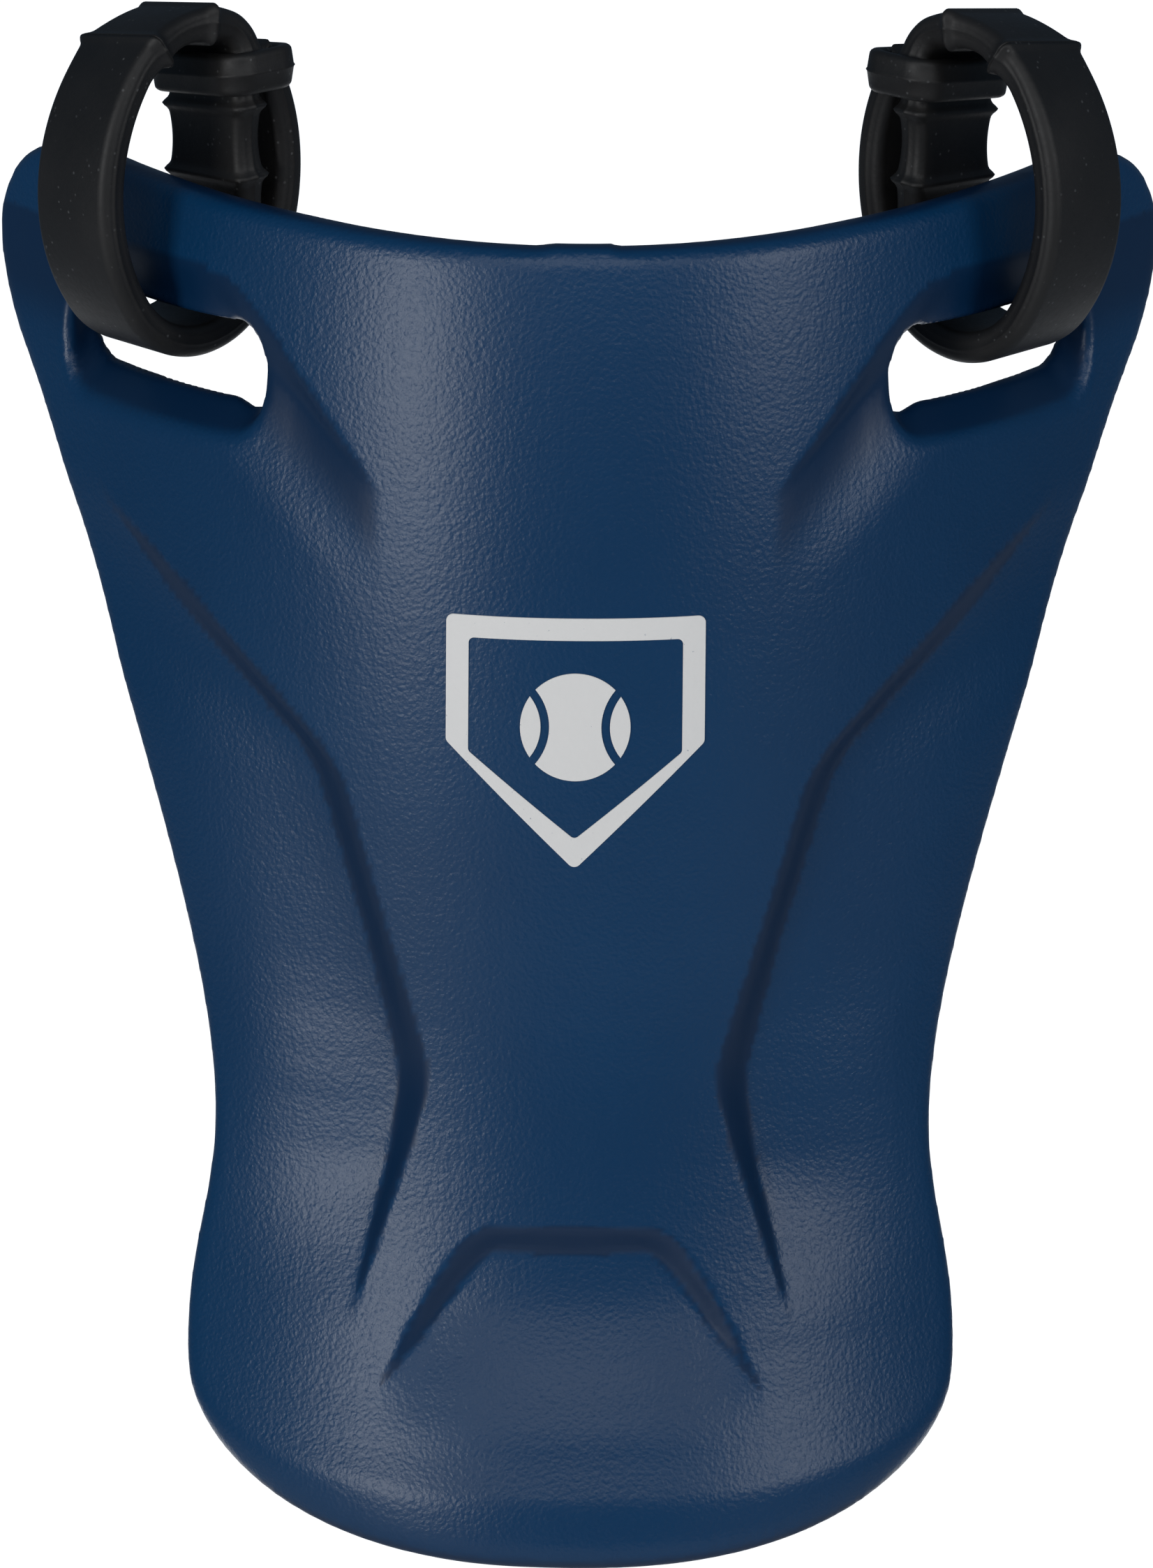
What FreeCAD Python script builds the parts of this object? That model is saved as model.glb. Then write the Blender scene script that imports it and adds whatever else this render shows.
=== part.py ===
import FreeCAD, Part
import math
import os
from FreeCAD import Vector

# Hanging throat guard of a catcher's mask: one thick moulded plate with a swept-back U plan, a waist and
# a flared lower lip, hung by two rubber straps.  Each strap is looped round the plate's top bar, through
# a slot, and closes by passing its ribbed tail through the window of its own keeper.
# Millimetres.  +Z is up, the outer face looks along -Y, the guard is symmetric about X = 0.
# The origin is midway between the two straps' loops, at the height where they hold the mask's wire.

# --- guard plate -----------------------------------------------------------------------------------
PLATE_HEIGHT = 152.5           # lowest point of the lip to the middle of the top edge
CORNER_RISE = 2.3              # top corners above the middle of the top edge
PLATE_THICKNESS = 5.5
TOP_HALF_WIDTH = 69.7          # widest, just under the top corners
WAIST_HALF_WIDTH = 43.3
WAIST_HEIGHT = 41.0
LIP_HALF_WIDTH = 46.4
LIP_HEIGHT = 18.0              # height at which the lip is widest
LIP_ROUNDNESS = 2.8            # superellipse exponent of the lower edge
CORNER_RADIUS = 9.0            # top corners, seen from the front
SIDE_SWEEP = 50.0              # how far back the plate reaches at TOP_HALF_WIDTH
SWEEP_POWER = 2.12
LIP_FLARE = 16.0               # forward reach of the lip at the lower edge
FLARE_START = 65.0             # height below which the lip flares
LIP_FLATTENING = 0.15          # share of the sweep that is lost at the lower edge
TOP_LEAN = 8.3                 # backward reach of the top edge
LEAN_START = 85.0              # height above which the plate leans back
RIM_RADIUS = 2.3

# --- strap slots -----------------------------------------------------------------------------------
BAR_HEIGHT = 13.5              # plate left above each slot, at the middle of the top edge
SLOT_HEIGHT = 12.6
SLOT_OUTER_X = 60.2
SLOT_INNER_X = 37.6
SLOT_CORNER_RADIUS = 4.0
SLOT_PITCH = 31.0              # degrees by which the slot's walls rise towards the back
SLOT_YAW = 38.0                # turn of its walls towards the middle, degrees
SLOT_EDGE_RADIUS = 0.9

# --- straps ----------------------------------------------------------------------------------------
STRAP_X = 51.6                 # middle of the strap on the bar
STRAP_WIDTH = 12.5
STRAP_THICKNESS = 3.8
STRAP_EDGE_RADIUS = 1.2
LOOP_DEPTH = 31.2              # outside size, front to back
LOOP_HEIGHT = 40.8             # outside size, bottom to top
LOOP_END_RADIUS = 11.5         # top and bottom of the oval, middle line; its sides are the larger arcs
LOOP_SHIFT = -2.25             # middle of the loop, behind the middle of the bar
BAR_GAP = 1.9                  # under the bar, to the inside of the strap
TAIL_BEND_RADIUS = 4.2         # where the arch turns down into the keeper, middle line
TAIL_SET = 1.1                 # how far the hanging tail curves back by its tip
TAIL_BAND_GAP = 1.0            # between the hanging tail and the plain band behind it
TAIL_TIP_GAP = 1.6             # between the tail's tip and the inside of the lower bend, under its back
RIB_PITCH = 8.2
RIB_LENGTH = 4.4               # along the strap, at the foot of its flanks
RIB_CREST = 0.8                # along the strap, at its crest
RIB_PROUD = 0.5                # on the strap's faces
RIB_PROUD_EDGES = 1.0          # on the strap's two edges

# --- keeper ----------------------------------------------------------------------------------------
KEEPER_HEIGHT = 5.0
KEEPER_WALL = 1.7
KEEPER_BELOW_TOP = 5.9         # keeper's top face below the top of the loop
KEEPER_EDGE_RADIUS = 1.1
WINDOW_CLEARANCE = 0.25

# --- printed mark ----------------------------------------------------------------------------------
MARK_HEIGHT = 95.0             # middle of the mark above the lowest point of the lip
MARK_WIDTH = 30.0
MARK_LINE = 2.6
MARK_BALL_RADIUS = 6.4
MARK_SEAM = 1.0
INK_THICKNESS = 0.15

# --- mask wire -------------------------------------------------------------------------------------
WIRE_DIAMETER = 6.0

UP = Vector(0, 0, 1)
SURFACE_STEPS = 32
OUTLINE_STEPS = 12


def profile(z):
    """Depth of the outer face on the middle line: lip forward, top edge back."""
    flare = max(0.0, 1.0 - z / FLARE_START)
    lean = max(0.0, (z - LEAN_START) / (PLATE_HEIGHT - LEAN_START))
    return TOP_LEAN * lean ** 2 - LIP_FLARE * flare ** 2


def outer_point(x, z):
    flare = max(0.0, 1.0 - z / FLARE_START)
    sweep = SIDE_SWEEP * (abs(x) / TOP_HALF_WIDTH) ** SWEEP_POWER
    return Vector(x, profile(z) + sweep * (1.0 - LIP_FLATTENING * flare), z)


def outward(x, z):
    """Unit normal of the outer face, pointing forward."""
    step = 0.05
    along_x = outer_point(x + step, z) - outer_point(x - step, z)
    along_z = outer_point(x, z + step) - outer_point(x, z - step)
    return along_x.cross(along_z).normalize()


def offset_point(x, z, distance):
    return outer_point(x, z) + outward(x, z) * distance


def offset_surface(distance, half_width, low, high):
    """Surface at a distance in front of (or, if negative, behind) the outer face."""
    rows = []
    for i in range(SURFACE_STEPS + 1):
        x = half_width * (2.0 * i / SURFACE_STEPS - 1.0)
        heights = [low + (high - low) * j / SURFACE_STEPS for j in range(SURFACE_STEPS + 1)]
        rows.append([offset_point(x, z, distance) for z in heights])
    surface = Part.BSplineSurface()
    surface.interpolate(rows)
    return surface


def slab(front, back, half_width, low, high):
    """Closed solid between two offsets of the outer face."""
    faces = [offset_surface(d, half_width, low, high).toShape() for d in (front, back)]
    boundaries = [face.OuterWire.OrderedEdges for face in faces]
    walls = []
    for edge in boundaries[0]:
        middle = edge.valueAt(sum(edge.ParameterRange) / 2)
        partner = min(boundaries[1], key=lambda other: other.distToShape(Part.Vertex(middle))[0])
        walls.append(Part.makeRuledSurface(edge, partner))
    shell = Part.Shell(faces + walls)
    shell.sewShape()
    solid = Part.Solid(shell)
    if solid.Volume < 0:
        solid.reverse()
    return solid


def half_outline():
    """Right half of the plate's outline from the front, lowest point to the middle of the top edge."""
    points = []
    for i in range(OUTLINE_STEPS):
        angle = math.pi / 2 * i / OUTLINE_STEPS
        x = LIP_HALF_WIDTH * math.sin(angle) ** (2 / LIP_ROUNDNESS)
        z = LIP_HEIGHT * (1 - math.cos(angle) ** (2 / LIP_ROUNDNESS))
        points.append((x, z))
    widening = TOP_HALF_WIDTH - WAIST_HALF_WIDTH
    shoulder = PLATE_HEIGHT + CORNER_RISE - CORNER_RADIUS
    above_waist = shoulder - WAIST_HEIGHT
    side = Part.BSplineCurve()
    side.interpolate([
        Vector(LIP_HALF_WIDTH, 0, LIP_HEIGHT),
        Vector(WAIST_HALF_WIDTH, 0, WAIST_HEIGHT),
        Vector(WAIST_HALF_WIDTH + 0.15 * widening, 0, WAIST_HEIGHT + 0.28 * above_waist),
        Vector(WAIST_HALF_WIDTH + 0.47 * widening, 0, WAIST_HEIGHT + 0.55 * above_waist),
        Vector(WAIST_HALF_WIDTH + 0.89 * widening, 0, WAIST_HEIGHT + 0.85 * above_waist),
        Vector(TOP_HALF_WIDTH, 0, shoulder),
    ], InitialTangent=Vector(0, 0, 1), FinalTangent=Vector(0, 0, 1), PeriodicFlag=False)
    for point in side.discretize(2 * OUTLINE_STEPS)[:-1]:
        points.append((point.x, point.z))
    for i in range(OUTLINE_STEPS // 2 + 1):
        angle = math.pi / 2 * i / (OUTLINE_STEPS // 2)
        x = TOP_HALF_WIDTH - CORNER_RADIUS * (1 - math.cos(angle))
        points.append((x, shoulder + CORNER_RADIUS * math.sin(angle)))
    corner_x = TOP_HALF_WIDTH - CORNER_RADIUS
    for i in range(1, OUTLINE_STEPS // 2):
        share = 1 - 2.0 * i / OUTLINE_STEPS
        points.append((corner_x * share, PLATE_HEIGHT + CORNER_RISE * share ** 2))
    return points


def rim_wall():
    """Ruled face square to the outer face all round the plate's outline."""
    right = half_outline()
    left = [(-x, z) for x, z in reversed(right[1:])]
    outline = right + [(0.0, PLATE_HEIGHT)] + left
    edges = []
    for distance in (PLATE_THICKNESS, -2 * PLATE_THICKNESS):
        curve = Part.BSplineCurve()
        curve.interpolate([offset_point(x, z, distance) for x, z in outline], PeriodicFlag=True)
        edges.append(curve.toShape())
    return Part.makeRuledSurface(edges[0], edges[1])


def rounded_polygon(corners, radius):
    """Closed planar wire with an arc at each corner."""
    edges = []
    starts = []
    ends = []
    count = len(corners)
    for i in range(count):
        corner = corners[i]
        before = (corners[i - 1] - corner).normalize()
        after = (corners[(i + 1) % count] - corner).normalize()
        half_angle = before.getAngle(after) / 2
        reach = radius / math.tan(half_angle)
        bisector = (before + after).normalize()
        middle = corner + bisector * (radius / math.sin(half_angle) - radius)
        starts.append(corner + before * reach)
        ends.append(corner + after * reach)
        edges.append(Part.Arc(starts[i], middle, ends[i]).toShape())
    for i in range(count):
        edges.append(Part.LineSegment(ends[i], starts[(i + 1) % count]).toShape())
    return Part.Wire(Part.__sortEdges__(edges))


def slot_cutter(side):
    """Prism that cuts one slot; its walls rise and turn inwards towards the back."""
    pitch = math.radians(SLOT_PITCH)
    yaw = math.radians(SLOT_YAW)
    level = math.cos(pitch)
    through = Vector(-side * math.sin(yaw) * level, math.cos(yaw) * level, math.sin(pitch))
    top = PLATE_HEIGHT - BAR_HEIGHT
    corners = []
    for x, z in ((SLOT_INNER_X, top), (SLOT_OUTER_X, top),
                 (SLOT_OUTER_X, top - SLOT_HEIGHT), (SLOT_INNER_X, top - SLOT_HEIGHT)):
        on_face = outer_point(side * x, z)
        corners.append(on_face - through * (on_face.dot(through) + SIDE_SWEEP))
    face = Part.Face(rounded_polygon(corners, SLOT_CORNER_RADIUS))
    return face.extrude(through * (4 * SIDE_SWEEP))


def guard_plate():
    margin = 2 * PLATE_THICKNESS
    blank = slab(0.0, -PLATE_THICKNESS, TOP_HALF_WIDTH + margin, -margin, PLATE_HEIGHT + margin)
    pieces = blank.generalFuse([rim_wall()])[0].Solids
    middle = offset_point(0.0, PLATE_HEIGHT / 2, -PLATE_THICKNESS / 2)
    plate = next(piece for piece in pieces if piece.isInside(middle, 0.01, True))
    rim = [edge for edge in plate.Edges if edge.Length > PLATE_HEIGHT]
    plate = plate.makeFillet(RIM_RADIUS, rim)
    for side in (-1, 1):
        plate = plate.cut(slot_cutter(side))
    skins = sorted(plate.Faces, key=lambda face: face.Area)[-2:]
    slot_edges = []
    for skin in skins:
        for wire in skin.Wires:
            if not wire.isSame(skin.OuterWire):
                slot_edges.extend(wire.Edges)
    return plate.makeFillet(SLOT_EDGE_RADIUS, slot_edges).Solids[0]


def strap_frame():
    """Middle of the left bar's lower face, and the directions out of the plate and along the bar."""
    normal = outward(-STRAP_X, PLATE_HEIGHT - BAR_HEIGHT)
    out = Vector(normal.x, normal.y, 0).normalize()
    along = UP.cross(out).normalize()
    base = offset_point(-STRAP_X, PLATE_HEIGHT - BAR_HEIGHT, -PLATE_THICKNESS / 2)
    return base, out, along


BASE, OUT, ALONG = strap_frame()
HALF_DEPTH = (LOOP_DEPTH - STRAP_THICKNESS) / 2
HALF_HEIGHT = (LOOP_HEIGHT - STRAP_THICKNESS) / 2
BOTTOM = -BAR_GAP - STRAP_THICKNESS / 2
MIDDLE = BOTTOM + HALF_HEIGHT
TOP = MIDDLE + HALF_HEIGHT
END_REACH = HALF_HEIGHT - LOOP_END_RADIUS
SIDE_RADIUS = (END_REACH ** 2 / (HALF_DEPTH - LOOP_END_RADIUS) + LOOP_END_RADIUS + HALF_DEPTH) / 2
JOIN_ANGLE = math.degrees(math.atan2(END_REACH, SIDE_RADIUS - HALF_DEPTH))
KEEPER_TOP = TOP + STRAP_THICKNESS / 2 - KEEPER_BELOW_TOP
KEEPER_FLOOR = KEEPER_TOP - KEEPER_HEIGHT
BACK_CENTRE = LOOP_SHIFT + SIDE_RADIUS - HALF_DEPTH
FRONT_CENTRE = LOOP_SHIFT - SIDE_RADIUS + HALF_DEPTH
BAND_AT_KEEPER = BACK_CENTRE - math.sqrt(SIDE_RADIUS ** 2 - (KEEPER_FLOOR - MIDDLE) ** 2)
TAIL = BAND_AT_KEEPER + STRAP_THICKNESS + TAIL_BAND_GAP
WIRE_CENTRE = BASE + UP * (TOP - (STRAP_THICKNESS + WIRE_DIAMETER) / 2)
ORIGIN = Vector(0, WIRE_CENTRE.y, WIRE_CENTRE.z)


def loop_point(a, b, s=0.0):
    """Point of the left strap: a out from the plate, b up from the bar's lower face, s along the bar."""
    return BASE + OUT * a + UP * b + ALONG * s


def line(start, end):
    return Part.LineSegment(loop_point(*start), loop_point(*end)).toShape()


def arc(centre, radius, first, last):
    """Arc in the loop's plane, in degrees from straight out."""
    points = []
    for angle in (first, (first + last) / 2, last):
        turn = math.radians(angle)
        points.append(loop_point(centre[0] + radius * math.cos(turn), centre[1] + radius * math.sin(turn)))
    return Part.Arc(*points).toShape()


def section(at, direction, proud=0.0, proud_edges=0.0):
    """Rounded strap section, square to the path, standing proud of the plain strap by two amounts."""
    across = direction.cross(ALONG).normalize()
    wide = STRAP_WIDTH / 2 + proud_edges
    thick = STRAP_THICKNESS / 2 + proud
    signs = ((1, 1), (-1, 1), (-1, -1), (1, -1))
    corners = [at + ALONG * (i * wide) + across * (j * thick) for i, j in signs]
    return rounded_polygon(corners, STRAP_EDGE_RADIUS)


def sweep(edges):
    first = edges[0].FirstParameter
    start = section(edges[0].valueAt(first), edges[0].tangentAt(first))
    return Part.Wire(edges).makePipeShell([start], True, True)


def strap_band():
    """Plain part: from under the keeper down behind the plate, under the bar and up in front."""
    above_keeper_floor = KEEPER_FLOOR + STRAP_THICKNESS / 2
    start = 180 - math.degrees(math.asin((above_keeper_floor - MIDDLE) / SIDE_RADIUS))
    band = sweep([
        arc((BACK_CENTRE, MIDDLE), SIDE_RADIUS, start, 180 + JOIN_ANGLE),
        arc((LOOP_SHIFT, BOTTOM + LOOP_END_RADIUS), LOOP_END_RADIUS, 180 + JOIN_ANGLE, 360 - JOIN_ANGLE),
        arc((FRONT_CENTRE, MIDDLE), SIDE_RADIUS, -JOIN_ANGLE, JOIN_ANGLE),
    ])
    behind = ((LOOP_SHIFT, -STRAP_WIDTH), (LOOP_SHIFT, STRAP_WIDTH),
              (-LOOP_DEPTH, STRAP_WIDTH), (-LOOP_DEPTH, -STRAP_WIDTH))
    trim = [loop_point(a, KEEPER_FLOOR, s) for a, s in behind]
    return band.cut(Part.Face(Part.makePolygon(trim + trim[:1])).extrude(UP * LOOP_HEIGHT))


def tail_tip():
    """Height of the tail's tip: a gap above the inside of the lower bend, under the tail's back."""
    inside = LOOP_END_RADIUS - STRAP_THICKNESS / 2
    behind = LOOP_SHIFT - TAIL + TAIL_SET + STRAP_THICKNESS / 2
    return BOTTOM + LOOP_END_RADIUS - math.sqrt(max(inside ** 2 - behind ** 2, 0.0)) + TAIL_TIP_GAP


def tail_path():
    """Middle line of the ribbed part, as a list of edges from the front of the arch to the tail's tip."""
    top_centre = (LOOP_SHIFT, TOP - LOOP_END_RADIUS)
    apart = LOOP_END_RADIUS - TAIL_BEND_RADIUS
    turn = math.acos((TAIL + TAIL_BEND_RADIUS - LOOP_SHIFT) / apart)
    bend_centre = (top_centre[0] + apart * math.cos(turn), top_centre[1] + apart * math.sin(turn))
    hang = KEEPER_FLOOR - tail_tip()
    hang_radius = (hang ** 2 + TAIL_SET ** 2) / (2 * TAIL_SET)
    hang_turn = math.degrees(math.asin(hang / hang_radius))
    return [
        arc(top_centre, LOOP_END_RADIUS, JOIN_ANGLE, math.degrees(turn)),
        arc(bend_centre, TAIL_BEND_RADIUS, math.degrees(turn), 180),
        line((TAIL, bend_centre[1]), (TAIL, KEEPER_FLOOR)),
        arc((TAIL - hang_radius, KEEPER_FLOOR), hang_radius, 0, -hang_turn),
    ]


def ribbed_tail():
    """Ribbed part: over the top, down through the keeper's window, hanging free behind the plate."""
    edges = tail_path()
    tail = sweep(edges)
    arch_length = edges[0].Length
    reach = sum(edge.Length for edge in edges)
    under_keeper = reach - edges[3].Length + RIB_LENGTH
    arch_ribs = [RIB_PITCH / 2 + i * RIB_PITCH for i in range(int(arch_length // RIB_PITCH) + 1)]
    tail_ribs = [under_keeper, under_keeper + RIB_PITCH]
    for distance in arch_ribs + tail_ribs:
        if distance < arch_length or under_keeper <= distance < reach - RIB_LENGTH / 2:
            tail = tail.fuse(rib(*station(edges, distance)))
    return tail


def station(edges, distance):
    """Point and direction at a distance along joined edges."""
    for edge in edges:
        if distance <= edge.Length:
            parameter = edge.getParameterByLength(distance)
            return edge.valueAt(parameter), edge.tangentAt(parameter)
        distance -= edge.Length
    raise ValueError("station beyond the strap's end")


def rib(at, direction):
    """One rib: a band round the strap with long bevelled flanks."""
    sunk = -RIB_PROUD / 2
    offsets = ((-RIB_LENGTH / 2, sunk, sunk), (-RIB_CREST / 2, RIB_PROUD, RIB_PROUD_EDGES),
               (RIB_CREST / 2, RIB_PROUD, RIB_PROUD_EDGES), (RIB_LENGTH / 2, sunk, sunk))
    wires = [section(at + direction * shift, direction, proud, edges) for shift, proud, edges in offsets]
    return Part.makeLoft(wires, True, True)


def strap_keeper():
    """Head of the strap: a flat block with the window that the tail passes down through."""
    half_gap = WINDOW_CLEARANCE + STRAP_THICKNESS / 2
    half_window = WINDOW_CLEARANCE + STRAP_WIDTH / 2
    near = TAIL + half_gap + KEEPER_WALL
    far = BAND_AT_KEEPER - STRAP_THICKNESS / 2
    half_width = half_window + KEEPER_WALL

    def block(first, last, half, low, high, radius):
        plan = ((first, -half), (last, -half), (last, half), (first, half))
        corners = [loop_point(a, low, s) for a, s in plan]
        return Part.Face(rounded_polygon(corners, radius)).extrude(UP * (high - low))

    body = block(far, near, half_width, KEEPER_FLOOR, KEEPER_TOP, 2 * KEEPER_EDGE_RADIUS)
    body = body.makeFillet(KEEPER_EDGE_RADIUS, [edge for edge in body.Edges
                                                if abs(edge.BoundBox.ZLength) < 1e-6])
    window = block(TAIL - half_gap, TAIL + half_gap, half_window,
                   KEEPER_FLOOR - 1, KEEPER_TOP + 1, STRAP_EDGE_RADIUS)
    return body.cut(window)


def mark_outline(shrink):
    """Home plate seen from the front: flat top, square shoulders, point down."""
    half = MARK_WIDTH / 2 - shrink
    top = MARK_HEIGHT + MARK_WIDTH / 2 - shrink
    shoulder = MARK_HEIGHT
    point = MARK_HEIGHT - MARK_WIDTH / 2 + shrink * math.sqrt(2)
    slope = shoulder - shrink * (math.sqrt(2) - 1)
    corners = [(half, top), (-half, top), (-half, slope), (0, point), (half, slope)]
    return [Vector(x, -SIDE_SWEEP, z) for x, z in corners]


def printed_mark():
    """Home plate outline with a ball in it, printed on the middle of the plate."""
    back = Vector(0, 1, 0)
    through = back * (2 * SIDE_SWEEP)
    ring = Part.Face(rounded_polygon(mark_outline(0.0), MARK_LINE / 3)).extrude(through)
    ring = ring.cut(Part.Face(rounded_polygon(mark_outline(MARK_LINE), MARK_LINE / 4)).extrude(through))
    centre = Vector(0, -SIDE_SWEEP, MARK_HEIGHT + MARK_BALL_RADIUS / 3)
    ball = Part.makeCylinder(MARK_BALL_RADIUS, 2 * SIDE_SWEEP, centre, back)
    for side in (-1, 1):
        seam_centre = centre + Vector(side * 1.55 * MARK_BALL_RADIUS, 0, 0)
        outer = Part.makeCylinder(MARK_BALL_RADIUS + MARK_SEAM / 2, 2 * SIDE_SWEEP, seam_centre, back)
        inner = Part.makeCylinder(MARK_BALL_RADIUS - MARK_SEAM / 2, 2 * SIDE_SWEEP, seam_centre, back)
        ball = ball.cut(outer.cut(inner))
    ink = slab(INK_THICKNESS, 0.0, MARK_WIDTH, MARK_HEIGHT - MARK_WIDTH, MARK_HEIGHT + MARK_WIDTH)
    return ink.common(Part.makeCompound([ring, ball]))


def mirrored(shape):
    return shape.mirror(Vector(0, 0, 0), Vector(1, 0, 0))


def export(name, shape):
    placed = shape.copy()
    placed.translate(ORIGIN * -1)
    placed.exportStep("parts/" + name + ".step")
    box = placed.BoundBox
    print(name, placed.isValid(), len(placed.Solids), round(placed.Volume, 1),
          [round(v, 2) for v in (box.XMin, box.YMin, box.ZMin, box.XMax, box.YMax, box.ZMax)])


os.makedirs("parts", exist_ok=True)
export("guard_plate", guard_plate())
export("printed_mark", printed_mark())
left_strap = {"strap_band": strap_band(), "strap_ribbed_tail": ribbed_tail(), "strap_keeper": strap_keeper()}
for piece, solid in left_strap.items():
    export("left_" + piece, solid)
    export("right_" + piece, mirrored(solid))
print("origin", ORIGIN, "left wire", WIRE_CENTRE - ORIGIN)
print("left pivot", loop_point(0, PLATE_THICKNESS / 2) - ORIGIN, "left axis", -ALONG)
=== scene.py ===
import math

import bmesh
import bpy
import numpy as np
from mathutils import Matrix, Vector, kdtree


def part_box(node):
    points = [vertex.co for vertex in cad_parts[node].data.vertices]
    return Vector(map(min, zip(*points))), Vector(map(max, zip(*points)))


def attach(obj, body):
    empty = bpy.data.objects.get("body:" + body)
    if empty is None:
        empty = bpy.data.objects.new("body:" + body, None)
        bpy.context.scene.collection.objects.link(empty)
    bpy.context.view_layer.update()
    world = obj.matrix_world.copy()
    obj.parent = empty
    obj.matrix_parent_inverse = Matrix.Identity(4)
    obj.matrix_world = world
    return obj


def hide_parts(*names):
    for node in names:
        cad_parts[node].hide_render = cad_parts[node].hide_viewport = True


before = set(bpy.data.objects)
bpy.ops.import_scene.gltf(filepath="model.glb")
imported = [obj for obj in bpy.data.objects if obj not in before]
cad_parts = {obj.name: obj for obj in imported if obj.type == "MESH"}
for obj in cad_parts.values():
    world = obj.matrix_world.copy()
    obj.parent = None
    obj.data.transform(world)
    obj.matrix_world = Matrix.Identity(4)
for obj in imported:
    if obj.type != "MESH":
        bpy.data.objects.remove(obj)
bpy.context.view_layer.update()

# --- camera, floor and light -------------------------------------------------------------------------
# A long lens looks down on the guard from the front. Two upright soft boxes stand left and right of it,
# the left one stronger, with a wide one high in front. The sides and the back stay dark.

plate_low, plate_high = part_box("guard_plate")
scene = bpy.context.scene
scene.view_settings.view_transform = "Standard"

CAMERA_HEIGHT_ANGLE = math.radians(17.0)
CAMERA_DISTANCE = 1.5
CAMERA_LENS = 293.3
CAMERA_ROLL = math.radians(0.45)
aim = Vector((0.0002, -0.0135, -0.0827))
toward = Vector((0, math.cos(CAMERA_HEIGHT_ANGLE), -math.sin(CAMERA_HEIGHT_ANGLE)))
camera = bpy.data.objects.new("camera", bpy.data.cameras.new("camera"))
scene.collection.objects.link(camera)
camera.data.lens = CAMERA_LENS
camera.data.sensor_width = 36.0
camera.location = aim - toward * CAMERA_DISTANCE
camera.rotation_mode = "QUATERNION"
camera.rotation_quaternion = toward.to_track_quat("-Z", "Y") @ Matrix.Rotation(CAMERA_ROLL, 3, "Z").to_quaternion()
camera.data.clip_end = 20.0
scene.camera = camera


def soft_box(name, place, target, width, height, watts, tint=(1.0, 1.0, 1.0)):
    light = bpy.data.lights.new(name, "AREA")
    light.shape = "RECTANGLE"
    light.size = width
    light.size_y = height
    light.energy = watts
    light.color = tint
    lamp = bpy.data.objects.new(name, light)
    lamp.location = place
    lamp.rotation_mode = "QUATERNION"
    lamp.rotation_quaternion = (Vector(target) - Vector(place)).to_track_quat("-Z", "Y")
    scene.collection.objects.link(lamp)


soft_box("left_soft_box", (-0.87, -1.04, 0.10), (0.0, 0.0, -0.09), 0.34, 0.52, 5.2)
soft_box("right_soft_box", (1.00, -0.90, 0.36), (0.0, 0.0, -0.09), 0.36, 0.50, 3.4)
soft_box("front_soft_box", (0.0, -1.05, 0.70), (0.0, 0.0, -0.09), 1.0, 0.5, 2.8)



# --- shader writing ----------------------------------------------------------------------------------
# Every finish below is a node tree of its own, written as plain arithmetic on sockets.

class Flow:
    """A socket of one tree. Arithmetic on it adds Math nodes; node() adds any other node."""

    def __init__(self, tree, socket):
        self.tree = tree
        self.socket = socket

    def node(self, kind, settings=(), output=0, **inputs):
        made = self.tree.nodes.new(kind)
        for name, value in dict(settings).items():
            setattr(made, name, value)
        for name, value in inputs.items():
            key = int(name[1:]) if name[0] == "i" and name[1:].isdigit() else name.replace("_", " ")
            if isinstance(value, Flow):
                self.tree.links.new(value.socket, made.inputs[key])
            else:
                made.inputs[key].default_value = value
        return Flow(self.tree, made.outputs[output])

    def math(self, operation, *values, clamp=False):
        inputs = {"i%d" % i: value for i, value in enumerate(values)}
        return self.node("ShaderNodeMath", {"operation": operation, "use_clamp": clamp}, **inputs)

    def __add__(self, other):
        return self.math("ADD", self, other)

    def __sub__(self, other):
        return self.math("SUBTRACT", self, other)

    def __rsub__(self, other):
        return self.math("SUBTRACT", other, self)

    def __mul__(self, other):
        return self.math("MULTIPLY", self, other)

    def __truediv__(self, other):
        return self.math("DIVIDE", self, other)

    __radd__ = __add__
    __rmul__ = __mul__

    def ramp(self, low, high):
        """0 at low, 1 at high, smooth between."""
        return self.node("ShaderNodeMapRange", {"interpolation_type": "SMOOTHSTEP"}, Value=self,
                         From_Min=low, From_Max=high)

    def blend(self, first, second):
        """Colour from first, where this is 0, to second, where it is 1."""
        return self.node("ShaderNodeMix", {"data_type": "RGBA"}, output=2, i0=self, i6=first, i7=second)

    def noise(self, scale, detail=2.0, roughness=0.5, **more):
        return self.node("ShaderNodeTexNoise", Vector=self, Scale=scale, Detail=detail, Roughness=roughness, **more)


def finish_tree(name):
    """New material with one Principled shader: (material, object coordinates, shader node)."""
    material = bpy.data.materials.new(name)
    material.use_nodes = True
    tree = material.node_tree
    shader = tree.nodes["Principled BSDF"]
    place = tree.nodes.new("ShaderNodeTexCoord")
    return material, Flow(tree, place.outputs["Object"]), shader


def feed(shader, **sockets):
    """Links or sets the shader's sockets by name."""
    tree = shader.id_data
    for name, value in sockets.items():
        socket = shader.inputs[name.replace("_", " ")]
        if isinstance(value, Flow):
            tree.links.new(value.socket, socket)
        else:
            socket.default_value = value


def give(piece, material):
    piece.data.materials.clear()
    piece.data.materials.append(material)
    for polygon in piece.data.polygons:
        polygon.material_index = 0
    piece.data.shade_smooth()


# --- floor -------------------------------------------------------------------------------------------
# Pale paper: a plain matt floor below the guard, and on it, from behind the guard to far away, a strip of
# glowing white paper that fills the camera's view.

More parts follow.
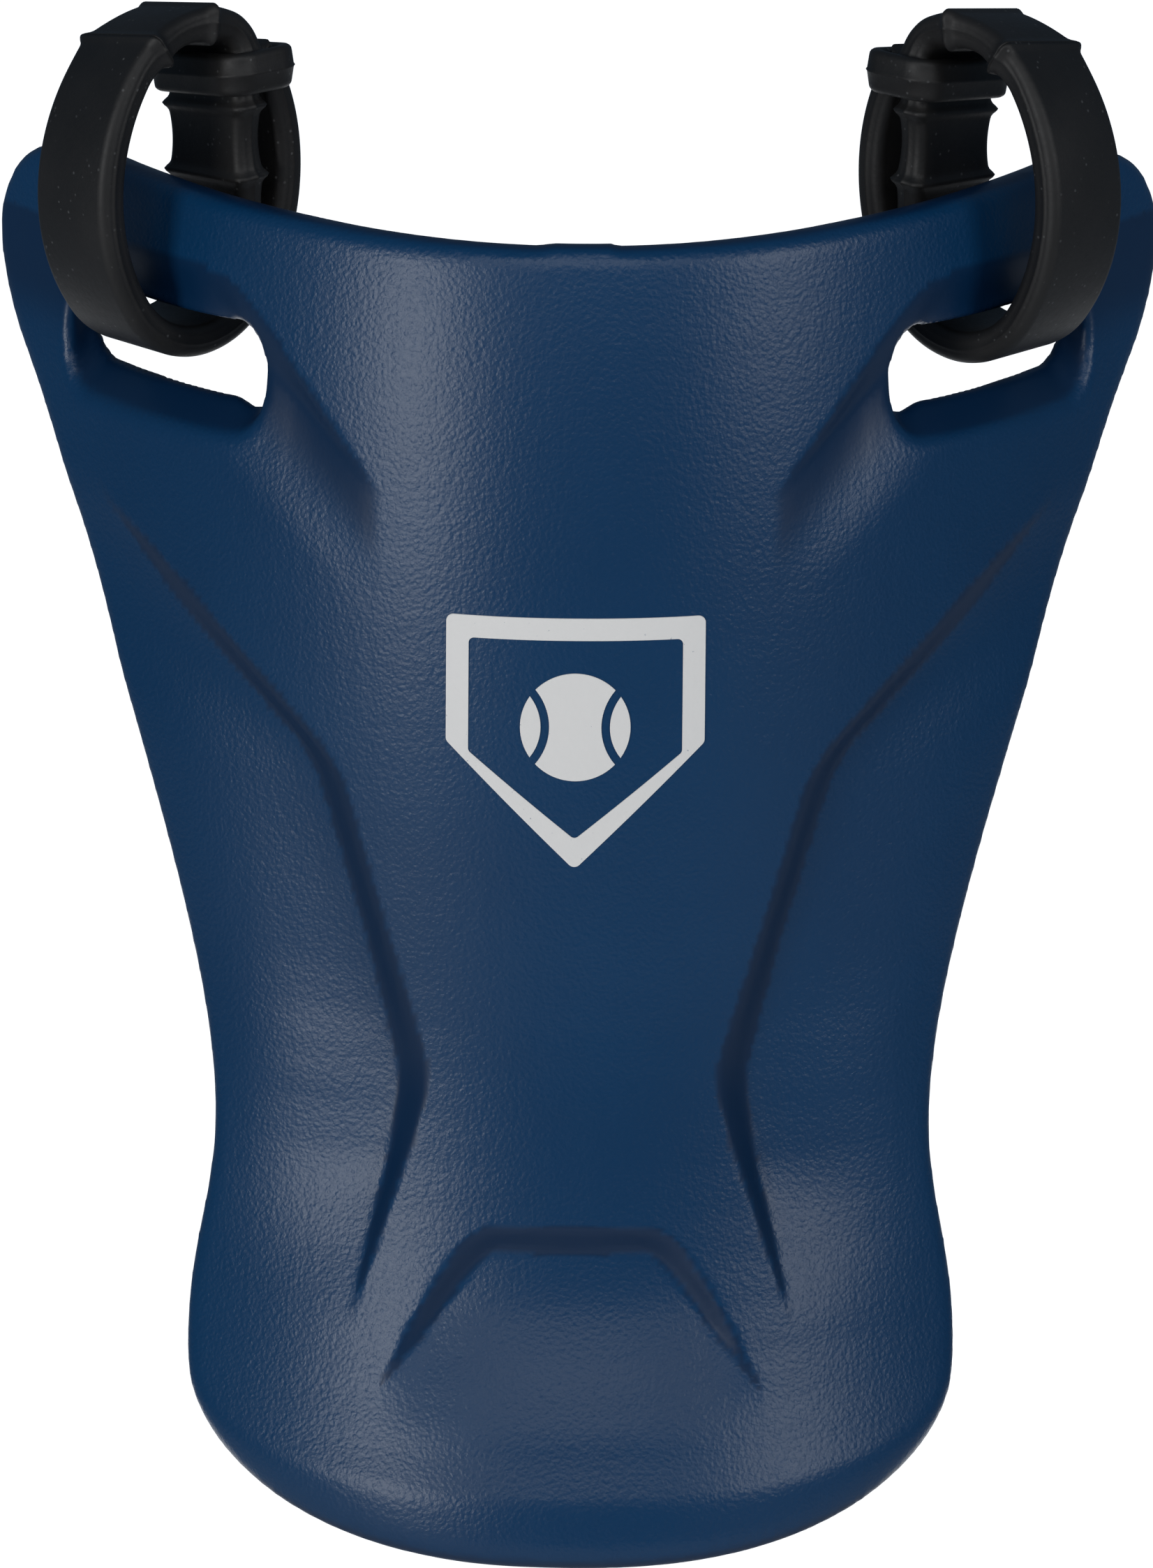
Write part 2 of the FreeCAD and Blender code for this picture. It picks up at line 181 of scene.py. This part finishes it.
def paper_sheet(name, width, front, behind, lift):
    """Flat rectangle, lifted above the floor's own level, which is 0.35 m below the guard."""
    level = plate_low[2] - 0.35 + lift
    corners = [(-width / 2, front, level), (width / 2, front, level), (width / 2, behind, level),
               (-width / 2, behind, level)]
    mesh = bpy.data.meshes.new(name)
    mesh.from_pydata(corners, [], [(0, 1, 2, 3)])
    sheet = bpy.data.objects.new(name, mesh)
    scene.collection.objects.link(sheet)
    return sheet


def paper_finish(name, glow):
    finish, _, shader = finish_tree(name)
    feed(shader, Base_Color=(0.92, 0.92, 0.92, 1.0), Roughness=0.9, Specular_IOR_Level=0.1,
         Emission_Color=(1.0, 1.0, 1.0, 1.0), Emission_Strength=glow)
    return finish


floor = paper_sheet("floor_paper", width=8.0, front=-4.0, behind=6.0, lift=0.0)
backdrop = paper_sheet("backdrop_paper", width=0.9, front=0.35, behind=5.5, lift=0.002)
give(floor, paper_finish("pale_paper", 0.0))
give(backdrop, paper_finish("white_paper", 1.0))
world = bpy.data.worlds.new("studio")
world.use_nodes = True
world.node_tree.nodes["Background"].inputs["Color"].default_value = (0.50, 0.72, 1.0, 1.0)
world.node_tree.nodes["Background"].inputs["Strength"].default_value = 0.13
scene.world = world


# --- guard plate -------------------------------------------------------------------------------------
# One thick navy moulding with a leather grain outside. Its centre stands proud as a long panel, with smooth
# stepped walls down both sides and across the lip, and a smaller step round each strap slot.
# The walls, the smooth band beside each slot, and the rim and back get a darker navy: painted shade.

MM = 0.001
ROW_ORIGIN = np.array([0.0, 33.591, 166.937])     # in the plate's own axes, whose zero is the middle of the lip

# Each step has a high line and a low line, with a smooth wall between them. Millimetres, one half; the other
# half mirrors it. Side lines give x at each height, lip and slot lines give the height at each x.
SIDE_HIGH = [(25.8, 25.6), (37.5, 21.5), (46.4, 18.6), (52.3, 17.0), (56.1, 17.2), (73.6, 22.7), (89.2, 27.3),
             (91.2, 28.6), (94.4, 31.4), (99.3, 36.5), (104.3, 41.8), (109.1, 47.0), (112.9, 51.8), (116.0, 56.0)]
SIDE_LOW = [(25.8, 25.6), (35.2, 24.1), (43.5, 22.3), (51.7, 21.0), (55.4, 21.3), (73.2, 26.3), (88.6, 31.2),
            (92.2, 33.6), (96.2, 37.9), (100.1, 42.1), (105.2, 47.2), (111.0, 52.0), (113.8, 54.4), (116.0, 56.4)]
SIDE_DEPTH = [(25.8, 0.0), (31.0, 0.7), (42.0, 2.2), (60.0, 2.5), (90.0, 2.4), (100.0, 1.8), (110.0, 0.8),
              (116.0, 0.0)]
LIP_HIGH = [(0.0, 37.0), (8.4, 37.0), (11.0, 36.3), (13.0, 34.7), (18.8, 25.2), (22.4, 17.6)]
LIP_LOW = [(0.0, 33.9), (9.3, 33.9), (11.0, 33.1), (16.3, 26.0), (22.2, 17.5), (22.4, 17.4)]
SLOT_HIGH = [(22.4, 122.1), (26.5, 127.8), (32.6, 135.6), (35.7, 139.7), (38.3, 142.7), (40.2, 144.2),
             (43.0, 145.2), (60.0, 145.6)]
SLOT_LOW = [(22.4, 121.9), (26.0, 125.6), (28.6, 128.2), (31.6, 130.8), (34.7, 133.2), (38.0, 136.0),
            (42.0, 140.5), (60.0, 141.2)]


def broken_line(at, line, soften):
    """A line of corners, with each corner rounded: the mean of the line at five places close by."""
    along, value = np.array(line).T
    return sum(np.interp(at + soften * shift, along, value) for shift in (-1.0, -0.5, 0.0, 0.5, 1.0)) / 5


def ease(share):
    share = np.clip(share, 0.0, 1.0)
    return share * share * (3 - 2 * share)


def bevel(share):
    """0 to 1 along a nearly straight slope, with a little rounding at its top and foot."""
    return 0.65 * np.clip(share, 0.0, 1.0) + 0.35 * ease(share)


def outer_face(x, z):
    """Depth of the plain outer face: y = 8.3 lean^2 - 16 flare^2 + 50 |x / 69.7|^2.12 (1 - 0.15 flare)."""
    flare = np.maximum(1 - z / 65.0, 0.0)
    lean = np.maximum((z - 85.0) / 67.5, 0.0)
    return 8.3 * lean ** 2 - 16.0 * flare ** 2 + 50.0 * np.abs(x / 69.7) ** 2.12 * (1 - 0.15 * flare)


def panel_steps(x, z):
    """Depth pushed in and share of smooth wall, for points of the outer face.
    Depth is each step's own depth, times its eased slope between its two lines, times its fading past them."""
    side = np.abs(x)
    high = broken_line(z, SIDE_HIGH, 1.3)
    low = np.maximum(broken_line(z, SIDE_LOW, 1.3), high + 0.3)
    slope = (side - high) / (low - high)
    depth = broken_line(z, SIDE_DEPTH, 2.0)
    push = depth * bevel(slope) * (1 - ease((side - low) / 19.0))
    wall = np.where((slope > -0.06) & (slope < 1.06), np.clip(depth / 0.5, 0.0, 1.0), 0.0)

    high = broken_line(side, LIP_HIGH, 0.9)
    low = np.minimum(broken_line(side, LIP_LOW, 0.9), high - 0.25)
    slope = (high - z) / (high - low)
    depth = 2.1 * ease((24.0 - side) / 8.0) * ease((z - 12.0) / 19.0)
    push += np.where(side < 22.4, depth * bevel(slope), 0.0)
    wall = np.maximum(wall, np.where((slope > -0.06) & (slope < 1.06) & (side < 22.4), 1.0, 0.0))

    high = broken_line(side, SLOT_HIGH, 1.2)
    low = np.minimum(broken_line(side, SLOT_LOW, 1.2), high - 0.3)
    slope = (high - z) / (high - low)
    depth = 1.7 * ease((side - 22.4) / 12.0) * (1 - ease((side - 52.0) / 10.0))
    push += depth * bevel(slope) * (1 - ease((low - z) / 16.0))
    smooth_side = np.where((slope > -0.04) & (side > 22.4), 1 - ease((low - z - 3.0) / 7.0), 0.0)
    return push, np.maximum(wall, smooth_side * ease((side - 22.4) / 2.0) * 0.9)


def rolled_lip(foot, below):
    """Depth by which the outer face rolls back near the plate's edge, at each point: roll (1 - e / width)^2,
    with e the distance to the nearest point of the rim; the roll is widest along the bottom of the lip."""
    rim = foot[(below > 2.5) & (below < 3.0)][:, [0, 2]]
    tree = kdtree.KDTree(len(rim))
    for number, (x, z) in enumerate(rim):
        tree.insert((x, z, 0.0), number)
    tree.balance()
    edge = np.array([tree.find((x, z, 0.0))[2] if z < 45.0 else 99.0 for x, _, z in foot])
    low = 1 - ease((foot[:, 2] - 3.0) / 12.0)
    width = 3.0 + 5.5 * low
    return (0.2 + 2.0 * low) * np.clip(1 - edge / width, 0.0, 1.0) ** 2 * (1 - ease((foot[:, 2] - 30.0) / 14.0))


def stepped_plate(source):
    """The plate's own form, remade as even small faces, with the steps pressed into its front.
    A point moves along the outer face's inward normal, by the step's depth there times 1 - depth / thickness."""
    VOXEL = 0.00076
    THICKNESS = 5.5
    mesh = source.data.copy()
    working = bmesh.new()
    working.from_mesh(mesh)
    bmesh.ops.remove_doubles(working, verts=working.verts, dist=1e-6)
    working.to_mesh(mesh)
    working.free()
    piece = bpy.data.objects.new("guard_shell", mesh)
    scene.collection.objects.link(piece)
    remesh = piece.modifiers.new("even", "REMESH")
    remesh.mode = "VOXEL"
    remesh.voxel_size = VOXEL
    settle = piece.modifiers.new("settle", "SMOOTH")
    settle.factor = 0.5
    settle.iterations = 2
    even = bpy.data.meshes.new_from_object(piece.evaluated_get(bpy.context.evaluated_depsgraph_get()))
    piece.modifiers.clear()
    piece.data = even
    count = len(even.vertices)
    places = np.empty(count * 3)
    even.vertices.foreach_get("co", places)
    places = places.reshape(-1, 3) / MM + ROW_ORIGIN
    x, y, z = places.T
    inward = np.stack([outer_face(x - 0.1, z) - outer_face(x + 0.1, z), np.full(count, 0.2),
                       outer_face(x, z - 0.1) - outer_face(x, z + 0.1)], axis=1)
    inward /= np.linalg.norm(inward, axis=1)[:, None]
    below = (y - outer_face(x, z)) * inward[:, 1]
    foot = places - inward * below[:, None]
    push, wall = panel_steps(foot[:, 0], foot[:, 2])
    left_in = np.clip(1 - below / THICKNESS, 0.0, 1.0)
    places += inward * ((push + rolled_lip(foot, below)) * left_in)[:, None]
    under_slot = (ease((np.abs(x) - 36.0) / 4.0) * ease((61.0 - np.abs(x)) / 6.0)
                  * ease((z - 122.0) / 5.0) * ease((134.0 - z) / 3.0))
    places[:, 2] += 1.5 * under_slot * np.clip(below / THICKNESS, 0.0, 1.0)
    gate = ease((z - 150.5) / 1.0) * ease((x + 5.0) / 2.5) * ease((4.4 - x) / 0.5)
    places[:, 2] += 0.28 * gate
    even.vertices.foreach_set("co", ((places - ROW_ORIGIN) * MM).ravel())
    # One mask for two jobs: where the surface is smooth without grain, and where the shader paints shade. It covers the
    # step walls, the band beside each slot, and all that is set back from the outer face, which is the rim and the
    # back.
    smooth_shade_layer = even.attributes.new("smooth_wall_painted_shade", "FLOAT", "POINT")
    smooth_shade_layer.data.foreach_set("value", np.maximum(wall, ease((below - 0.5) / 0.8)).astype(np.float32))
    even.update()
    print("shell triangles", sum(len(p.vertices) - 2 for p in even.polygons))
    return piece


guard = stepped_plate(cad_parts["guard_plate"])

navy, place, shader = finish_tree("navy_moulding")
smooth_wall_painted_shade = place.node("ShaderNodeAttribute", {"attribute_name": "smooth_wall_painted_shade"}, output=2)
grain = 1 - smooth_wall_painted_shade
pebbles = place.node("ShaderNodeTexVoronoi", {"feature": "SMOOTH_F1"}, Vector=place, Scale=1900.0, Smoothness=0.8)
creases = place.noise(2300.0, detail=3.0, roughness=0.6)
fine = place.noise(4200.0, detail=2.0, roughness=0.6)
relief = (creases * 1.1 - pebbles * 0.9 + fine * 0.3) * grain + fine * 0.08
bump = place.node("ShaderNodeBump", Height=relief, Strength=0.7, Distance=0.00006)
cloud = place.noise(22.0, detail=3.0)
deep = cloud.ramp(0.3, 0.7).blend((0.0006, 0.0400, 0.1180, 1.0), (0.0010, 0.0460, 0.1320, 1.0))
# Painted shade: where the mask is set, the base colour blends to a darker navy, standing in for the shade on the walls,
# rim and back.
tone = (smooth_wall_painted_shade * 0.85).blend(deep, (0.0002, 0.0190, 0.0640, 1.0))
feed(shader, Base_Color=tone, Roughness=0.30 + creases * 0.08 + smooth_wall_painted_shade * 0.04, Normal=bump,
     Specular_IOR_Level=0.5)
give(guard, navy)
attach(guard, "guard")
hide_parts("guard_plate")


# --- printed mark ------------------------------------------------------------------------------------
# White ink, screen-printed on the grain: a home plate outline round a ball. The ink is nearly flat white,
# with pinholes where it missed the bottom of the grain.

ink, place, shader = finish_tree("white_ink")
holes = place.noise(1500.0, detail=3.0, roughness=0.7).ramp(0.70, 0.76)
weave = place.noise(900.0, detail=4.0)
white = holes.blend((0.95, 0.92, 0.88, 1.0), (0.30, 0.34, 0.42, 1.0))
bump = place.node("ShaderNodeBump", Height=weave * 1.0 - holes * 0.6, Strength=0.35, Distance=0.0002)
feed(shader, Base_Color=white, Roughness=0.42 + weave * 0.2, Normal=bump)
give(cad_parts["printed_mark"], ink)


# --- straps ------------------------------------------------------------------------------------------
# Black rubber mouldings, each looped round the guard's bar and closed through its own keeper: a soft
# sheen, a fine mould texture, and a few pale specks of dust.

rubber, place, shader = finish_tree("black_rubber")
skin = place.noise(1400.0, detail=4.0, roughness=0.6)
bloom = place.noise(70.0, detail=4.0)
dust = place.node("ShaderNodeTexVoronoi", {"feature": "F1"}, Vector=place, Scale=900.0, Randomness=1.0)
specks = (1 - dust.ramp(0.08, 0.20)) * place.noise(260.0, detail=2.0).ramp(0.44, 0.60)
black = bloom.ramp(0.3, 0.75).blend((0.0056, 0.0050, 0.0046, 1.0), (0.0125, 0.0112, 0.0105, 1.0))
black = (specks * 0.6).blend(black, (0.11, 0.11, 0.11, 1.0))
bump = place.node("ShaderNodeBump", Height=skin + bloom * 0.5, Strength=0.30, Distance=0.00012)
feed(shader, Base_Color=black, Roughness=0.44 + skin * 0.14 + bloom * 0.08, Normal=bump, Specular_IOR_Level=0.5)


# Middle line of a strap: out from the plate and up from the bar's lower edge, in millimetres. Lengths run
# from the first rib's crest, where the plain band ends and the ribbed tail begins.
LOOP_BACK = -2.25
BOTTOM, MIDDLE, TOP = -3.8, 14.7, 33.2
HALF_DEPTH, END_RADIUS, BEND_RADIUS = 13.7, 11.5, 4.2
TWIST = 0.17                   # by which the inner side stands higher, at the top of the loop
END_REACH = (TOP - BOTTOM) / 2 - END_RADIUS
SIDE_RADIUS = (END_REACH ** 2 / (HALF_DEPTH - END_RADIUS) + END_RADIUS + HALF_DEPTH) / 2
JOIN = math.atan2(END_REACH, SIDE_RADIUS - HALF_DEPTH)
KEEPER_LOW, KEEPER_HIGH = 24.2, 29.2
RIB_PITCH = 8.2
FIRST_RIB = JOIN + RIB_PITCH / 2 / END_RADIUS
BACK_CENTRE = LOOP_BACK + SIDE_RADIUS - HALF_DEPTH
BAND_AT_KEEPER = BACK_CENTRE - math.sqrt(SIDE_RADIUS ** 2 - (KEEPER_LOW - MIDDLE) ** 2)
TAIL = BAND_AT_KEEPER + 4.8
TURN = math.acos((TAIL + BEND_RADIUS - LOOP_BACK) / (END_RADIUS - BEND_RADIUS))
BEND_CENTRE = (LOOP_BACK + (END_RADIUS - BEND_RADIUS) * math.cos(TURN),
               TOP - END_RADIUS + (END_RADIUS - BEND_RADIUS) * math.sin(TURN))
TAIL_TIP = 6.3
TAIL_SET = 1.1
SEAT = np.array([49.595, 0.0, -28.300])
OUT = np.array([0.735626, -0.677388, 0.0])
ALONG = np.array([-0.677388, -0.735626, 0.0])


def on_strap(out, up, across, side):
    """Place in metres: seat + out OUT + across ALONG + up Z, with the inner side raised by the twist."""
    mirror = np.array([side, 1.0, 1.0])
    raised = up + across * TWIST * np.clip(up / TOP, 0.0, 1.0)
    return (SEAT * mirror + out[..., None] * OUT * mirror + across[..., None] * ALONG * mirror
            + raised[..., None] * np.array([0.0, 0.0, 1.0])) * MM


def curve(pieces, step=0.32):
    """Points along arcs (centre, radius, first angle, last angle), evenly spaced, with no point repeated."""
    points = []
    for centre, radius, first, last in pieces:
        count = max(2, int(abs(last - first) * radius / step) + 1)
        angle = np.linspace(first, last, count + 1)
        arc = np.stack([centre[0] + radius * np.cos(angle), centre[1] + radius * np.sin(angle)], axis=1)
        points.append(arc if not points else arc[1:])
    return np.concatenate(points)


def section_outline(half_width, half_thick, corner, parting):
    """Closed outline of (across, outward) as unit offsets that scale with the half sizes.
    Each corner is a quarter circle; each edge carries a small ridge, where the mould's halves met."""
    quarter = np.radians(np.linspace(0, 90, 6))
    points = []
    for across, outward, turn in ((1, 1, 0), (-1, 1, 90), (-1, -1, 180), (1, -1, 270)):
        angle = quarter + math.radians(turn)
        points += [(across * (half_width - corner) + corner * math.cos(a),
                    outward * (half_thick - corner) + corner * math.sin(a)) for a in angle]
        if turn in (90, 270):
            continue
    ridge = [(0.32, 0.0), (0.15, parting), (-0.02, 0.0)]
    edge_left = [(-half_width - r, t) for t, r in ridge]
    edge_right = [(half_width + r, t) for t, r in reversed(ridge)]
    return np.array(points[:12] + edge_left + points[12:] + edge_right)


def swept(name, path, side, width_more, thick_more, body_slot="strap", ends=(0.0, 0.0)):
    """A strap section carried along a middle line: place + across * ALONG + outward * normal of the line.
    width_more and thick_more are added to the half sizes at each place; ends is not used."""
    HALF_WIDTH = 6.25
    HALF_THICK = 1.9
    forward = np.gradient(path, axis=0)
    forward /= np.linalg.norm(forward, axis=1)[:, None]
    normal = np.stack([forward[:, 1], -forward[:, 0]], axis=1)
    base = section_outline(HALF_WIDTH, HALF_THICK, 1.25, 0.13)
    grown = base[None] + np.stack([np.sign(base[:, 0])[None] * width_more[:, None],
                                   np.sign(base[:, 1])[None] * thick_more[:, None]
                                   * (np.abs(base[:, 1]) > 0.5)[None]], axis=2)
    out = path[:, None, 0] + grown[:, :, 1] * normal[:, None, 0]
    up = path[:, None, 1] + grown[:, :, 1] * normal[:, None, 1]
    return closed_tube(name, on_strap(out, up, grown[:, :, 0], side), False)


def closed_tube(name, points, ring):
    """A mesh skinned over rows of points; the ends are filled, or joined when it is a ring."""
    rows, around = points.shape[:2]
    index = np.arange(rows * around).reshape(rows, around)
    nxt = np.roll(index, -1, axis=1)
    last = rows if ring else rows - 1
    after = np.roll(index, -1, axis=0)
    quads = np.stack([index[:last], nxt[:last], np.roll(after, -1, axis=1)[:last], after[:last]], axis=-1)
    faces = quads.reshape(-1, 4).tolist()
    if not ring:
        faces += [index[0][::-1].tolist(), index[-1].tolist()]
    mesh = bpy.data.meshes.new(name)
    mesh.from_pydata(points.reshape(-1, 3).tolist(), [], faces)
    working = bmesh.new()
    working.from_mesh(mesh)
    bmesh.ops.recalc_face_normals(working, faces=working.faces)
    working.to_mesh(mesh)
    working.free()
    piece = bpy.data.objects.new(name, mesh)
    scene.collection.objects.link(piece)
    return piece


def rib_swell(run, crests):
    """How far the strap swells, from 0 to 1: a narrow crest at each rib, and a hollow curve between ribs."""
    nearest = np.min(np.abs(run[:, None] - np.array(crests)[None]), axis=1)
    return 0.55 * np.exp(-(nearest / 0.55) ** 2) + 0.45 * np.clip(1 - nearest / (RIB_PITCH / 2), 0.0, 1.0) ** 2


def run_length(path):
    return np.concatenate([[0.0], np.cumsum(np.linalg.norm(np.diff(path, axis=0), axis=1))])


EDGE_SWELL, FACE_SWELL = 1.05, 0.62
top_centre = (LOOP_BACK, TOP - END_RADIUS)
rear_top = math.pi - math.asin((KEEPER_HIGH - 0.4 - MIDDLE) / SIDE_RADIUS)
band_path = curve([
    ((BACK_CENTRE, MIDDLE), SIDE_RADIUS, rear_top, math.pi + JOIN),
    ((LOOP_BACK, BOTTOM + END_RADIUS), END_RADIUS, math.pi + JOIN, 2 * math.pi - JOIN),
    ((LOOP_BACK - SIDE_RADIUS + HALF_DEPTH, MIDDLE), SIDE_RADIUS, -JOIN, JOIN),
    (top_centre, END_RADIUS, JOIN, FIRST_RIB),
])
hang_radius = ((KEEPER_LOW - TAIL_TIP) ** 2 + TAIL_SET ** 2) / (2 * TAIL_SET)
tail_path = curve([
    (top_centre, END_RADIUS, FIRST_RIB, TURN),
    (BEND_CENTRE, BEND_RADIUS, TURN, math.pi),
])
down = np.linspace(BEND_CENTRE[1], KEEPER_LOW, 14)[1:]
tail_path = np.concatenate([tail_path, np.stack([np.full(len(down), TAIL), down], axis=1),
                            curve([((TAIL - hang_radius, KEEPER_LOW), hang_radius, 0.0,
                                    -math.asin((KEEPER_LOW - TAIL_TIP) / hang_radius))])[1:]])
band_run = run_length(band_path)
band_swell = rib_swell(band_run, [band_run[-1]])
tail_run = run_length(tail_path)
under_keeper = tail_run[-1] - hang_radius * math.asin((KEEPER_LOW - TAIL_TIP) / hang_radius) + 1.6
tail_swell = rib_swell(tail_run, [0.0, RIB_PITCH, 2 * RIB_PITCH, under_keeper, under_keeper + RIB_PITCH])
tip = np.clip((tail_run[-1] - tail_run) / 1.3, 0.0, 1.0)
tip_round = np.sqrt(np.maximum(1 - (1 - tip) ** 2, 0.0)) - 1


def keeper_ring(name, side):
    """Rounded block round the tail and the back of the band: a rounded wall section carried round a loop."""
    HALF_ACROSS, HALF_OUT, CORNER, WALL = 7.3, 4.4, 2.4, 0.95
    middle_out = BAND_AT_KEEPER - 1.9 + HALF_OUT + WALL
    loop = []
    for across, out, turn in ((1, 1, 0), (-1, 1, 90), (-1, -1, 180), (1, -1, 270)):
        for angle in np.radians(np.linspace(turn, turn + 90, 9)):
            loop.append((across * (HALF_ACROSS - CORNER) + CORNER * math.cos(angle),
                         out * (HALF_OUT - CORNER) + CORNER * math.sin(angle), math.cos(angle), math.sin(angle)))
    loop = np.array(loop)
    half = (KEEPER_HIGH - KEEPER_LOW) / 2
    outline = []
    for wall, up, turn in ((1, 1, 0), (-1, 1, 90), (-1, -1, 180), (1, -1, 270)):
        for angle in np.radians(np.linspace(turn, turn + 90, 5)):
            outline.append((wall * (WALL - 0.85) + 0.85 * math.cos(angle), up * (half - 0.85) + 0.85 * math.sin(angle)))
    outline += [(WALL + 0.22, -0.18), (WALL + 0.36, 0.0), (WALL + 0.22, 0.18)]
    outline = np.array(outline)
    across = loop[:, None, 0] + loop[:, None, 2] * outline[None, :, 0]
    out = middle_out + loop[:, None, 1] + loop[:, None, 3] * outline[None, :, 0]
    up = np.broadcast_to((KEEPER_HIGH + KEEPER_LOW) / 2 + outline[None, :, 1], across.shape)
    return closed_tube(name, on_strap(out, up, across, side), True)


for side_name, side in (("left", -1.0), ("right", 1.0)):
    shown = {
        "band": swept(side_name + "_band_form", band_path, side, EDGE_SWELL * band_swell, FACE_SWELL * band_swell),
        "ribbed_tail": swept(side_name + "_tail_form", tail_path, side, EDGE_SWELL * tail_swell + 1.2 * tip_round,
                             FACE_SWELL * tail_swell + 1.2 * tip_round),
        "keeper": keeper_ring(side_name + "_keeper_form", side),
    }
    for piece_name, piece in shown.items():
        give(piece, rubber)
        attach(piece, side_name + "_strap")
        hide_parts(side_name + "_strap_" + piece_name)
